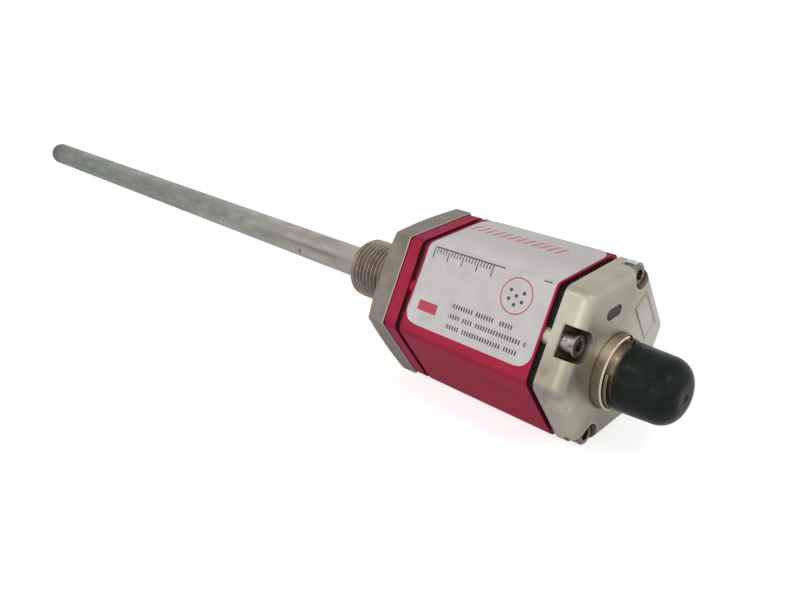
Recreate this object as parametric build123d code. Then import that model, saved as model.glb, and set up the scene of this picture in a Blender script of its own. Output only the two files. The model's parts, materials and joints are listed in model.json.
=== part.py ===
"""Rod-type magnetostrictive position sensor, in millimetres.

The origin is the centre of the flange's sealing face, on the rod's axis. +X runs from the rod's tip
through the flange and the housing to the connector, and +Z is up. The hexagons have flat tops and
bottoms, so their corners point along +Y and -Y. Directions round the axis are in degrees from +Y
towards +Z.
"""

from build123d import *
import os
from math import cos, radians, sin, sqrt, tan

# Clearances, shared by every fit in the model
seat_clearance = 0.02        # a pressed, glued or welded piece in its seat, radial
loose_clearance = 0.3        # a piece that is only dropped in
cap_running_clearance = 0.05 # rubber cap over the connector, radial

# Flange and threaded boss
hex_across_flats = 44.45
flange_thickness = 6.6
flange_chamfer_angle = 15.0
flange_edge_break = 0.25
thread_diameter = 19.05
thread_length = 25.4
thread_chamfer = 1.0
thread_pitch = 1.5875        # 16 turns to the inch
thread_depth_share = 0.6134  # of the pitch
thread_crest_share = 0.125
thread_flank_angle = 30.0
weld_land_diameter = 12.6
weld_land_length = 1.1

# Probe rod and what it holds
rod_diameter = 10.0
rod_wall = 1.5
rod_length = 266.7           # from the sealing face to the tip
rod_stand_in = 2.4           # rod end behind the flange's rear face
rod_seat_step = 0.3          # the end in the flange is turned down to a shoulder, radial
tip_dome_radius = 3.4
tip_dome_land = 0.6          # straight stretch between dome and weld
tip_spigot_length = 5.0
waveguide_diameter = 0.8
return_wire_diameter = 0.5
return_wire_offset = 0.8
sleeve_bore_diameter = 2.4
damping_length = 34.0
damping_gap = 1.0

# Hexagonal housing, its end plates and its gaskets
housing_step = 0.325         # the housing's sides stand this far inside the flange's
housing_corner_radius = 2.5
flange_gasket_thickness = 0.3
front_ring_thickness = 4.2
front_groove_width = 1.8
housing_length = 43.0
rear_groove_width = 2.0
groove_depth = 1.0
housing_wall = 3.3           # in the middle of a side
cavity_corner_radius = 1.5
channel_wall = 2.0           # metal round each screw channel of the extrusion
front_foot_radius = 3.05     # round feet under the first screw, which bridge the gaskets
rear_foot_radius = 3.05
foot_clearance = 0.3
ring_bore_wall = 3.55        # between the rings' bore and the first screw's hole
gasket_inset = 0.5           # of the thin seal behind the flange

# End cap
end_cap_length = 7.6
end_cap_corner_radius = 3.2
end_cap_edge_radius = 2.8
end_cap_draft = 1.5
end_wall = 3.1
recess_wall = 1.0            # between the inner pocket and the screw recesses
name_frame_length = 13.0
name_frame_width = 6.4
name_frame_line = 0.6
name_frame_height = 0.25
name_frame_side_angle = 30.0     # it stands along this side of the hexagon
name_frame_to_side = 6.8         # from its middle to that side
name_frame_shift = 1.1           # from the middle of the side towards the lower corner

# Screws that clamp cap, housing and front ring to the flange. The first stands inside the middle of the
# labelled side and the others inside two opposite corners.
side_screw_angle = 150.0
corner_screw_angles = (62.0, 242.0)
screw_to_side = 3.4
screw_to_corner = 3.79
side_recess_gap = 1.23       # round the screw head
corner_recess_gap = 0.73
screw_diameter = 3.5
screw_hold = 2.95            # length of thread in the flange
screw_head_diameter = 5.74
screw_head_height = 3.5
screw_head_edge = 0.3
screw_socket_across_flats = 2.78
screw_socket_depth = 1.8
screw_hole_clearance = 0.2   # radial
screw_head_below_face = 1.2
screw_tip_clearance = 0.8

# Earth lug under the head of one corner screw
lug_thickness = 0.3
lug_tab_gap = 0.05               # between the screw head and the tab curled round it
lug_tab_span = 100.0             # degrees round the head
lug_tab_height = 3.3

# Lamp window
window_length = 6.6
window_width = 2.9
window_aside = -2.9              # Y of its middle
window_below_top = 8.2           # from the top side to its middle
window_clearance = 0.04
window_below_face = 0.25
window_rim_width = 0.9           # the light pipe's flange behind the end wall
window_rim_thickness = 1.0
lamp_diameter = 2.0
lamp_pitch = 3.2

# Round connector
connector_place = (-1.75, -3.03) # Y, Z
collar_rim = 0.3                 # outside the seal's groove
collar_length = 2.9
collar_chamfer = 0.35
spanner_slot_width = 1.6
spanner_slot_depth = 1.1
spanner_slot_angle = 70.0
neck_undercut = 0.4              # below the thread's crest, radial
neck_length = 1.4
ring_width = 1.7
ring_thickness = 0.8
ring_gap_start = 55.0            # the open ring's ends, in degrees
ring_gap_end = 155.0
connector_thread_diameter = 16.0
connector_thread_length = 9.8
connector_thread_chamfer = 0.5
connector_thread_wall = 1.1
connector_tail_wall = 1.6
connector_tail_length = 5.0
insert_front_step = 2.2          # from the thread's inner end to the insert's face
insert_thickness = 6.0
pin_count_round = 5
pin_circle_diameter = 7.2
pin_pitch_angle = 60.0
pin_first_angle = -30.0
pin_diameter = 1.0
pin_front_length = 6.4
pin_tail_length = 4.2
pin_rounding = 0.4               # of a pin's tip or a lamp's end, as a share of its diameter
seal_section = 1.0
seal_land = 0.2                  # between the tail and the seal's groove

# Dust cap
cap_wall = 1.05                  # at the mouth
cap_taper = 0.6                  # the closed end is this much smaller, radial
cap_length = 14.6
cap_edge_radius = 5.6
cap_end_wall = 1.3
cap_inner_edge_radius = 4.6
cap_mouth_gap = 1.0              # it leaves the first turn of the thread bare
cap_dimple_diameter = 2.6
cap_dimple_depth = 0.35

# Label
label_thickness = 0.12
label_front_margin = 1.0
label_rear_margin = 0.6
label_lower_reach = 9.6          # below the middle of the side face
label_upper_reach = 11.9         # past the middle of the top face
label_corner_radius = 4.0

# Boards and the parts on them
board_thickness = 1.6
carrier_thickness = 2.6
carrier_slot_depth = 1.2
upper_board_gap = 4.5            # from the board's edge to the cavity
lower_board_gap = 2.7
board_stand_in = 1.3             # inside the housing's rear end
upper_board_underside = 3.0
lower_board_top = -5.4
board_corner_radius = 1.0
header_width = 2.5
header_length = 12.0
header_stand_in = 12.0           # from the boards' rear edge
chip_size = 10.0
chip_height = 1.6
chip_place = 12.0
capacitor_diameter = 5.0
capacitor_height = 6.5
capacitor_edge_radius = 0.4
capacitor_places = ((22.0, -6.0), (22.0, 1.5), (30.0, 5.5))
inductor_size = 9.0
inductor_height = 5.5
inductor_corner_radius = 1.5
inductor_place = 20.0
indicator_board_thickness = 1.2
indicator_board_width = 10.4
indicator_board_rise = 2.3       # above the middle of the window
contact_board_gap = 0.7          # round it in the connector's bore
contact_board_thickness = 1.2
pin_tail_stand_off = 0.4
ribbon_width = 5.0
ribbon_thickness = 0.8
ribbon_overlap = 6.0

# Strain pulse converter: coil, magnet and clamp follow each other along the wire
converter_width = 12.0
converter_front_wall = 4.0
coil_diameter = 4.0
coil_length = 6.0
magnet_size = (3.0, 3.0, 1.2)
clamp_diameter = 3.0
clamp_length = 2.6
converter_end_wall = 1.2
pocket_wall = 0.6
pocket_clearance = 0.05
solder_pad_length = 1.5
wire_slack = 0.1                 # round the waveguide where nothing holds it

# Diameters and distances across the axis, each from the sizes above
housing_across_flats = hex_across_flats - 2 * housing_step
cavity_radius = housing_across_flats / 2 - housing_wall
rod_radius = rod_diameter / 2
rod_bore_radius = rod_radius - rod_wall
rod_seat_radius = rod_radius - rod_seat_step
sleeve_radius = rod_bore_radius - loose_clearance
waveguide_radius = waveguide_diameter / 2
return_wire_radius = return_wire_diameter / 2
screw_hole_radius = screw_diameter / 2 + screw_hole_clearance
side_screw_distance = housing_across_flats / 2 - screw_to_side
corner_screw_distance = housing_across_flats / sqrt(3) - screw_to_corner
ring_bore_radius = side_screw_distance - screw_hole_radius - ring_bore_wall
side_recess_radius = screw_head_diameter / 2 + side_recess_gap
corner_recess_radius = screw_head_diameter / 2 + corner_recess_gap
connector_thread_radius = connector_thread_diameter / 2
connector_bore_radius = connector_thread_radius - connector_thread_wall
connector_tail_radius = connector_bore_radius + connector_tail_wall
neck_radius = connector_thread_radius - neck_undercut
seal_inner_radius = connector_tail_radius + seal_land
collar_radius = seal_inner_radius + seal_section + collar_rim
window_place = (window_aside, housing_across_flats / 2 - window_below_top)
upper_board_top = upper_board_underside + board_thickness
lower_board_underside = lower_board_top - board_thickness
converter_top = upper_board_underside - loose_clearance

# Stations along X, each from the sizes above
flange_rear = flange_thickness
front_ring_start = flange_rear + flange_gasket_thickness
front_ring_end = front_ring_start + front_ring_thickness
housing_start = front_ring_end + front_groove_width
housing_end = housing_start + housing_length
end_cap_start = housing_end + rear_groove_width
end_face = end_cap_start + end_cap_length
end_wall_inside = end_face - end_wall
screw_head_front = end_face - screw_head_below_face
screw_seat = screw_head_front - screw_head_height
screw_tip = flange_rear - screw_hold
collar_end = end_face + collar_length
neck_end = collar_end + neck_length
spigot_end = neck_end + connector_thread_length
cap_start = neck_end + cap_mouth_gap
cap_end = cap_start + cap_length
insert_front = neck_end + insert_front_step
insert_rear = insert_front - insert_thickness
pin_tip = insert_front + pin_front_length
pin_tail = insert_rear - pin_tail_length
contact_board_start = pin_tail + pin_tail_stand_off
tube_tip = -(rod_length - tip_dome_radius - tip_dome_land)
tube_rear = flange_rear + rod_stand_in
weld_land_end = -thread_length - weld_land_length
carrier_start = housing_start + loose_clearance
carrier_end = carrier_start + carrier_thickness
board_start = carrier_end - carrier_slot_depth
board_end = housing_end - board_stand_in
header_start = board_end - header_stand_in
indicator_end = board_end + indicator_board_thickness
lamp_end = end_wall_inside - window_rim_thickness - loose_clearance
spigot_inner_end = tube_tip + tip_spigot_length
damping_start = spigot_inner_end + damping_gap
damping_end = damping_start + damping_length
wire_start = spigot_inner_end + loose_clearance
converter_start = carrier_end
coil_start = converter_start + converter_front_wall
coil_end = coil_start + coil_length
magnet_start = coil_end + pocket_wall
clamp_start = magnet_start + magnet_size[0] + pocket_wall
wire_end = clamp_start + clamp_length
converter_end = wire_end + converter_end_wall

# Each screw's angle, distance from the axis and radius of its recess, by its number
screw_places = {1: (side_screw_angle, side_screw_distance, side_recess_radius)}
for number, angle in enumerate(corner_screw_angles, start=2):
    screw_places[number] = (angle, corner_screw_distance, corner_recess_radius)
lug_screw_angle = corner_screw_angles[0]


def place_on_circle(angle, radius):
    """Y and Z of a point at an angle and a radius from the rod's axis."""
    return radius * cos(radians(angle)), radius * sin(radians(angle))


def section_plane(x):
    """A plane across the axis at x: its own x is +Y, its own y is +Z, and it looks along +X."""
    return Plane.YZ.offset(x)


def cylinder_x(radius, x_start, x_end, centre=(0.0, 0.0)):
    """A plain cylinder along X."""
    disc = section_plane(x_start) * (Pos(*centre) * Circle(radius))
    return extrude(disc, x_end - x_start)


def box_x(x_start, x_end, y_start, y_end, z_start, z_end):
    """A box given by its limits."""
    size = (x_end - x_start, y_end - y_start, z_end - z_start)
    middle = ((x_start + x_end) / 2, (y_start + y_end) / 2, (z_start + z_end) / 2)
    return Pos(*middle) * Box(*size)


def turned(points, centre=(0.0, 0.0)):
    """A turned piece: (x, radius) points revolved round an axis along X through the centre."""
    outline = Polyline(*[(x, radius) for x, radius in points], close=True)
    return Pos(0, *centre) * revolve(make_face(outline), Axis.X)


def hexagon(across_flats, corner_radius=0.0):
    """A hexagon with a flat top, with its corners rounded on request."""
    outline = RegularPolygon(across_flats / 2, 6, major_radius=False)
    return fillet(outline.vertices(), corner_radius) if corner_radius else outline


def wedge(middle_angle, span, reach):
    """A fan with its tip on the axis, which cuts a ring into an arc."""
    rim = [place_on_circle(middle_angle + share * span, reach) for share in (-0.5, 0, 0.5)]
    return make_face(Polyline((0, 0), *rim, close=True))


def screw_centre(number):
    """Y and Z of a screw's axis."""
    angle, distance, _ = screw_places[number]
    return place_on_circle(angle, distance)


def screw_circles(radius):
    """One circle of the same radius at each screw."""
    shapes = Sketch()
    for number in screw_places:
        shapes += Pos(*screw_centre(number)) * Circle(radius)
    return shapes


def recess_outline(number):
    """U-shaped outline round a screw head, open to the side of the cap."""
    angle, distance, radius = screw_places[number]
    reach = housing_across_flats / 2
    outline = Pos(distance, 0) * Circle(radius)
    outline += Pos(distance + reach / 2, 0) * Rectangle(reach, 2 * radius)
    return Rot(0, 0, angle) * outline


def cavity_section(inset=0.0):
    """The inside of the housing: a round bore less the metal round the screw channels."""
    section = Circle(cavity_radius - inset) - screw_circles(screw_hole_radius + channel_wall + inset)
    return fillet(section.vertices(), cavity_corner_radius)


def pocket_section():
    """The inside of the end cap: the same bore less the walls of the screw recesses."""
    section = Circle(cavity_radius)
    for number in screw_places:
        section -= Pos(*screw_centre(number)) * Circle(screw_places[number][2] + recess_wall)
    return fillet(section.vertices(), cavity_corner_radius)


def housing_section(inset=0.0):
    """The extrusion's section, set in all round on request: hexagon, cavity and screw channels."""
    outline = hexagon(housing_across_flats - 2 * inset, housing_corner_radius)
    return outline - cavity_section() - screw_circles(screw_hole_radius)


def foot_section(radius):
    """The round foot under the first screw, cut off level with the labelled side face."""
    foot = Pos(*screw_centre(1)) * (Circle(radius) - Circle(screw_hole_radius))
    return foot & hexagon(housing_across_flats, housing_corner_radius)


def flange_blank():
    """Hexagon with its corners turned off on the sealing side and a broken rear edge."""
    blank = extrude(section_plane(0) * hexagon(hex_across_flats), flange_thickness)
    blank = chamfer(blank.faces().sort_by(Axis.X)[-1].edges(), flange_edge_break)
    face_radius = hex_across_flats / 2 - flange_edge_break
    outer_radius = hex_across_flats / sqrt(3) + flange_thickness
    rise = (outer_radius - face_radius) * tan(radians(flange_chamfer_angle))
    turning = turned([
        (0, 0),
        (0, face_radius),
        (rise, outer_radius),
        (flange_thickness, outer_radius),
        (flange_thickness, 0),
    ])
    return blank & turning


def thread_outline():
    """Outline of the mounting thread from its lead chamfer to the sealing face, with ring-shaped grooves."""
    crest = thread_diameter / 2
    root = crest - thread_depth_share * thread_pitch
    half_mouth = thread_pitch * (1 - thread_crest_share) / 2
    half_floor = half_mouth - (crest - root) * tan(radians(thread_flank_angle))
    points = [(-thread_length, crest - thread_chamfer), (-thread_length + thread_chamfer, crest)]
    turns = int((thread_length - thread_chamfer) / thread_pitch)
    for turn in reversed(range(turns)):
        middle = -(turn + 0.5) * thread_pitch
        points += [(middle - half_mouth, crest), (middle - half_floor, root)]
        points += [(middle + half_floor, root), (middle + half_mouth, crest)]
    return points + [(0, crest)]


def make_threaded_flange():
    """Hexagon, threaded boss and weld land, turned and milled from one stainless bar."""
    land = weld_land_diameter / 2
    boss = turned([
        (weld_land_end, 0),
        (weld_land_end, land),
        (-thread_length, land),
        *thread_outline(),
        (0, 0),
    ])
    bore = cylinder_x(rod_seat_radius + seat_clearance, weld_land_end, flange_rear)
    hole_end = screw_tip - screw_tip_clearance
    holes = extrude(
        section_plane(hole_end) * screw_circles(screw_diameter / 2 + seat_clearance),
        flange_rear - hole_end,
    )
    return flange_blank() + boss - bore - holes


def ring_section(inset=0.0):
    """Section of the front ring and of the seal in front of it."""
    outline = hexagon(housing_across_flats - 2 * inset, housing_corner_radius)
    return outline - Circle(ring_bore_radius) - screw_circles(screw_hole_radius)


def make_flange_gasket():
    """Thin sheet seal between flange and front ring, set in so that it shows as a dark seam."""
    return extrude(section_plane(flange_rear) * ring_section(gasket_inset), flange_gasket_thickness)


def make_front_ring():
    """Red end plate with the foot that stands on the housing."""
    body = extrude(section_plane(front_ring_start) * ring_section(), front_ring_thickness)
    foot = extrude(section_plane(front_ring_end) * foot_section(front_foot_radius), front_groove_width)
    return body + foot


def make_gasket(x_start, thickness, foot_radius):
    """Gasket between the housing and an end plate, set in to leave a groove, cut for the foot."""
    foot = Pos(*screw_centre(1)) * Circle(foot_radius + foot_clearance)
    return extrude(section_plane(x_start) * (housing_section(groove_depth) - foot), thickness)


def make_housing_sleeve():
    """Red extruded housing with its three screw channels."""
    return extrude(section_plane(housing_start) * housing_section(), housing_length)


def rounded_cap_blank():
    """Outside of the end cap: drafted hexagon with a generous edge round its face."""
    outline = hexagon(housing_across_flats, end_cap_corner_radius)
    blank = extrude(section_plane(end_cap_start) * outline, end_cap_length, taper=end_cap_draft)
    face_edges = blank.faces().sort_by(Axis.X)[-1].edges()
    return fillet(face_edges, end_cap_edge_radius)


def make_rear_end_cap():
    """Cast and nickel-plated end cap, with recesses for the screw heads open to its sides."""
    body = rounded_cap_blank()
    body -= extrude(section_plane(end_cap_start) * pocket_section(), end_wall_inside - end_cap_start)
    body -= extrude(section_plane(end_cap_start) * screw_circles(screw_hole_radius), end_cap_length)
    for number, (angle, _, _) in screw_places.items():
        seat = screw_seat - (lug_thickness if angle == lug_screw_angle else 0)
        body -= extrude(section_plane(seat) * recess_outline(number), end_face - seat)
    tail_hole = connector_tail_radius + seat_clearance
    body -= cylinder_x(tail_hole, end_wall_inside, end_face, connector_place)
    body -= extrude(section_plane(end_wall_inside) * window_section(window_clearance), end_wall)
    foot = extrude(section_plane(housing_end) * foot_section(rear_foot_radius), rear_groove_width)
    return body + name_frame() + foot


def name_frame():
    """Plain raised frame on the end face, standing along one side of the hexagon."""
    frame = Rectangle(name_frame_width, name_frame_length)
    frame -= Rectangle(name_frame_width - 2 * name_frame_line, name_frame_length - 2 * name_frame_line)
    place = Pos(housing_across_flats / 2 - name_frame_to_side, -name_frame_shift)
    placed = Rot(0, 0, name_frame_side_angle) * place * frame
    return extrude(section_plane(end_face) * placed, name_frame_height)


def window_section(clearance=0.0):
    """Outline of the lamp window, a slot with round ends."""
    return Pos(*window_place) * SlotOverall(window_length + 2 * clearance, window_width + 2 * clearance)


def make_lamp_window():
    """Smoked light pipe that fills the window, with a flange behind the end wall."""
    pipe = extrude(section_plane(end_wall_inside) * window_section(), end_wall - window_below_face)
    rim_start = end_wall_inside - window_rim_thickness
    rim = extrude(section_plane(rim_start) * window_section(window_rim_width), window_rim_thickness)
    return pipe + rim


def make_end_screw(number):
    """Socket head screw: head in the cap's recess, tip in the flange."""
    centre = screw_centre(number)
    head = screw_head_diameter / 2
    body = turned([
        (screw_tip, 0),
        (screw_tip, screw_diameter / 2),
        (screw_seat, screw_diameter / 2),
        (screw_seat, head),
        (screw_head_front - screw_head_edge, head),
        (screw_head_front, head - screw_head_edge),
        (screw_head_front, 0),
    ], centre)
    socket = Pos(*centre) * RegularPolygon(screw_socket_across_flats / 2, 6, major_radius=False)
    socket_floor = section_plane(screw_head_front - screw_socket_depth)
    return body - extrude(socket_floor * socket, screw_socket_depth)


def make_earth_lug():
    """Flat ring under a screw head with a tab curled up round the head at the open side of the recess."""
    start = section_plane(screw_seat - lug_thickness)
    tab_inside = screw_head_diameter / 2 + lug_tab_gap
    outside = Circle(tab_inside + lug_thickness)
    flat = outside - Circle(screw_hole_radius)
    tab = (outside - Circle(tab_inside)) & wedge(0, lug_tab_span, 3 * tab_inside)
    place = Rot(0, 0, lug_screw_angle) * Pos(corner_screw_distance, 0)
    body = extrude(start * (place * flat), lug_thickness)
    return body + extrude(start * (place * tab), lug_tab_height)


def make_connector_shell():
    """Plated connector body: tail in the cap, collar with spanner slots, neck and thread."""
    tail_end = end_face - connector_tail_length
    body = turned([
        (tail_end, connector_bore_radius),
        (tail_end, connector_tail_radius),
        (end_face, connector_tail_radius),
        (end_face, collar_radius),
        (collar_end - collar_chamfer, collar_radius),
        (collar_end, collar_radius - collar_chamfer),
        (collar_end, neck_radius),
        (neck_end, neck_radius),
        (neck_end, connector_thread_radius),
        (spigot_end - connector_thread_chamfer, connector_thread_radius),
        (spigot_end, connector_thread_radius - connector_thread_chamfer),
        (spigot_end, connector_bore_radius),
    ], connector_place)
    slot_floor = section_plane(collar_end - spanner_slot_depth)
    for turn in (0, 180):
        slot = Pos(collar_radius, 0) * Rectangle(2 * spanner_slot_depth, spanner_slot_width)
        placed = Pos(*connector_place) * (Rot(0, 0, spanner_slot_angle + turn) * slot)
        body -= extrude(slot_floor * placed, spanner_slot_depth)
    return body - turned(seal_groove_points(), connector_place)


def seal_groove_points():
    """Square groove in the collar's back face that holds the seal."""
    outer = seal_inner_radius + seal_section
    floor = end_face + seal_section
    return [(end_face, seal_inner_radius), (floor, seal_inner_radius), (floor, outer), (end_face, outer)]


def make_connector_seal():
    """O-ring squeezed between collar and end face."""
    middle = (end_face + seal_section / 2, seal_inner_radius + seal_section / 2)
    section = Pos(*middle) * Circle(seal_section / 2 - seat_clearance)
    return Pos(0, *connector_place) * revolve(section, Axis.X)


def make_connector_ring():
    """Open spring ring that sits on the neck, just in front of the collar."""
    start = collar_end + (neck_length - ring_thickness) / 2
    outer = neck_radius + ring_width
    gap = wedge((ring_gap_start + ring_gap_end) / 2, ring_gap_end - ring_gap_start, 2 * outer)
    ring = Circle(outer) - Circle(neck_radius + seat_clearance) - gap
    return extrude(section_plane(start) * (Pos(*connector_place) * ring), ring_thickness)


def pin_places():
    """One pin on the connector's axis and the others round it, with one place left free."""
    places = [connector_place]
    for step in range(pin_count_round):
        y, z = place_on_circle(pin_first_angle + step * pin_pitch_angle, pin_circle_diameter / 2)
        places.append((connector_place[0] + y, connector_place[1] + z))
    return places


def pin_holes(clearance):
    """A sketch of all pin holes."""
    holes = Sketch()
    for place in pin_places():
        holes += Pos(*place) * Circle(pin_diameter / 2 + clearance)
    return holes


def make_connector_insert():
    """Moulded insert that carries the pins."""
    disc = Pos(*connector_place) * Circle(connector_bore_radius - seat_clearance)
    disc -= pin_holes(seat_clearance)
    return extrude(section_plane(insert_rear) * disc, insert_thickness)


def make_contact_pin(place):
    """Gold-plated pin with a rounded tip."""
    pin = cylinder_x(pin_diameter / 2, pin_tail, pin_tip, place)
    tip_edge = pin.faces().sort_by(Axis.X)[-1].edges()
    return fillet(tip_edge, pin_diameter * pin_rounding)


def make_contact_board():
    """Small board that the pins' tails are soldered into."""
    disc = Pos(*connector_place) * Circle(connector_bore_radius - contact_board_gap)
    disc -= pin_holes(seat_clearance)
    return extrude(section_plane(contact_board_start) * disc, contact_board_thickness)


def make_dust_cap():
    """Rubber cap over the connector thread, hollow, with a rounded closed end."""
    bore = connector_thread_radius + cap_running_clearance
    mouth = bore + cap_wall
    inside_end = cap_end - cap_end_wall
    outside = turned([(cap_start, 0), (cap_start, mouth), (cap_end, mouth - cap_taper), (cap_end, 0)])
    outside = fillet(outside.faces().sort_by(Axis.X)[-1].edges(), cap_edge_radius)
    inside = cylinder_x(bore, cap_start, inside_end)
    inside = fillet(inside.faces().sort_by(Axis.X)[-1].edges(), cap_inner_edge_radius)
    dimple_radius = (cap_dimple_diameter ** 2 / 4 + cap_dimple_depth ** 2) / (2 * cap_dimple_depth)
    dimple = Pos(cap_end - cap_dimple_depth + dimple_radius, 0, 0) * Sphere(dimple_radius)
    return Pos(0, *connector_place) * (outside - inside - dimple)


def make_label():
    """Foil label folded over the corner between the labelled side face and the top face."""
    start = housing_start + label_front_margin
    end = housing_end - label_rear_margin
    outer = hexagon(housing_across_flats + 2 * label_thickness, housing_corner_radius + label_thickness)
    skin = outer - hexagon(housing_across_flats, housing_corner_radius)
    band = extrude(section_plane(start) * skin, end - start)
    corner_reach = housing_across_flats / sqrt(3)
    stand = housing_across_flats
    side = label_field(start, end, label_lower_reach, corner_reach)
    side = Rot(side_screw_angle - 90, 0, 0) * extrude(side, stand)
    top = label_field(start, end, label_upper_reach, corner_reach)
    top = mirror(extrude(top, stand), Plane.XZ)
    return band & (side + top)


def label_field(start, end, reach, fold):
    """Half of the label laid flat: a rectangle from the fold to its reach, with two round corners."""
    middle = ((start + end) / 2, (fold * cos(radians(60)) - reach) / 2)
    field = Pos(*middle) * Rectangle(end - start, fold * cos(radians(60)) + reach)
    outer_corners = field.vertices().group_by(Axis.Y)[0]
    return fillet(outer_corners, label_corner_radius)


def make_probe_rod():
    """Pressure tube from the tip's weld to its shoulder on the weld land, then its seat in the flange."""
    tube = cylinder_x(rod_radius, tube_tip, weld_land_end)
    tube += cylinder_x(rod_seat_radius, weld_land_end, tube_rear)
    return tube - cylinder_x(rod_bore_radius, tube_tip, tube_rear)


def make_rod_end_plug():
    """Domed plug with a spigot in the tube."""
    dome = cylinder_x(rod_radius, -rod_length, tube_tip)
    dome = fillet(dome.faces().sort_by(Axis.X)[0].edges(), tip_dome_radius)
    spigot = cylinder_x(rod_bore_radius - seat_clearance, tube_tip, tube_tip + tip_spigot_length)
    return dome + spigot


def make_waveguide():
    """Magnetostrictive wire from the damped tip to the converter."""
    return cylinder_x(waveguide_radius, wire_start, wire_end)


def make_return_wire():
    """Copper wire that brings the drive pulse back beside the waveguide."""
    end = converter_start + solder_pad_length
    return cylinder_x(return_wire_radius, wire_start, end, (0, return_wire_offset))


def make_damping_plug():
    """Rubber sleeve on the last stretch of the waveguide, which swallows the far echo."""
    body = cylinder_x(rod_bore_radius - seat_clearance, damping_start, damping_end)
    body -= cylinder_x(waveguide_radius + seat_clearance, damping_start, damping_end)
    return_bore = return_wire_radius + seat_clearance
    return body - cylinder_x(return_bore, damping_start, damping_end, (0, return_wire_offset))


def make_waveguide_sleeve():
    """Plastic tube that centres the waveguide in the rod and ends in the board carrier."""
    tube = cylinder_x(sleeve_radius, damping_end, board_start)
    return tube - cylinder_x(sleeve_bore_diameter / 2, damping_end, board_start)


def make_converter_block():
    """Moulded block round the waveguide's end, with pockets for coil, magnet and clamp."""
    half = converter_width / 2
    body = box_x(converter_start, converter_end, -half, half, lower_board_top, converter_top)
    body -= cylinder_x(waveguide_radius + wire_slack, converter_start, wire_end)
    return_reach = return_wire_offset + return_wire_radius + wire_slack
    pad_end = converter_start + solder_pad_length + wire_slack
    body -= cylinder_x(return_reach, converter_start, pad_end)
    body -= cylinder_x(coil_diameter / 2 + pocket_clearance, coil_start, coil_end)
    body -= cylinder_x(clamp_diameter / 2 + pocket_clearance, clamp_start, wire_end)
    return body - magnet_box(pocket_clearance)


def magnet_box(clearance=0.0):
    """The bias magnet, or with a clearance the pocket in the converter's upper face for it."""
    length, width, height = magnet_size
    start = magnet_start - clearance
    end = magnet_start + length + clearance
    half = width / 2 + clearance
    return box_x(start, end, -half, half, converter_top - height, converter_top)


def make_pickup_coil():
    """Winding round the waveguide."""
    coil = cylinder_x(coil_diameter / 2, coil_start, coil_end)
    return coil - cylinder_x(waveguide_radius + seat_clearance, coil_start, coil_end)


def make_waveguide_clamp():
    """Brass clamp on the waveguide's end."""
    clamp = cylinder_x(clamp_diameter / 2, clamp_start, wire_end)
    return clamp - cylinder_x(waveguide_radius + seat_clearance, clamp_start, wire_end)


def board_box(underside, gap, clearance=0.0):
    """A board's outline, or with a clearance the slot that it stands in."""
    top = underside + board_thickness
    farther_face = max(abs(underside), abs(top))
    half = sqrt(cavity_radius ** 2 - farther_face ** 2) - gap + clearance
    return box_x(board_start, board_end, -half, half, underside - clearance, top + clearance)


def make_board_carrier():
    """Plate across the housing's front end: it holds the sleeve and both boards."""
    plate = cavity_section(seat_clearance) - Circle(sleeve_radius + seat_clearance)
    body = extrude(section_plane(carrier_start) * plate, carrier_thickness)
    body -= board_box(upper_board_underside, upper_board_gap, seat_clearance)
    return body - board_box(lower_board_underside, lower_board_gap, seat_clearance)


def make_board(underside, gap):
    """A flat board with rounded corners."""
    board = board_box(underside, gap)
    return fillet(board.edges().filter_by(Axis.Z), board_corner_radius)


def make_board_header():
    """Pin header that joins the two boards."""
    end = header_start + header_width
    half = header_length / 2
    return box_x(header_start, end, -half, half, lower_board_top, upper_board_underside)


def make_controller_chip():
    """Processor on the upper board."""
    middle = board_start + chip_place
    half = chip_size / 2
    top = upper_board_top + chip_height
    return box_x(middle - half, middle + half, -half, half, upper_board_top, top)


def make_smoothing_capacitor(place):
    """Round capacitor standing on the upper board."""
    x, y = place
    base = Plane.XY.offset(upper_board_top)
    can = extrude(base * (Pos(board_start + x, y) * Circle(capacitor_diameter / 2)), capacitor_height)
    return fillet(can.faces().sort_by(Axis.Z)[-1].edges(), capacitor_edge_radius)


def make_power_inductor():
    """Inductor under the lower board."""
    middle = board_start + inductor_place
    half = inductor_size / 2
    base = lower_board_underside
    body = box_x(middle - half, middle + half, -half, half, base - inductor_height, base)
    return fillet(body.edges().filter_by(Axis.Z), inductor_corner_radius)


def make_indicator_board():
    """Upright board behind the end wall that carries the lamps."""
    y, z = window_place
    half = indicator_board_width / 2
    top = z + indicator_board_rise
    return box_x(board_end, indicator_end, y - half, y + half, upper_board_underside, top)


def make_indicator_lamp(side):
    """Lamp that shines into the window, on one side of its middle."""
    centre = (window_place[0] + side * lamp_pitch / 2, window_place[1])
    lamp = cylinder_x(lamp_diameter / 2, indicator_end, lamp_end, centre)
    return fillet(lamp.faces().sort_by(Axis.X)[-1].edges(), lamp_diameter * pin_rounding)


def make_ribbon_cable():
    """Flat cable from the lower board's top to the contact board."""
    y = connector_place[0]
    half = ribbon_width / 2
    start = board_end - ribbon_overlap
    top = lower_board_top + ribbon_thickness
    return box_x(start, contact_board_start, y - half, y + half, lower_board_top, top)


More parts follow.
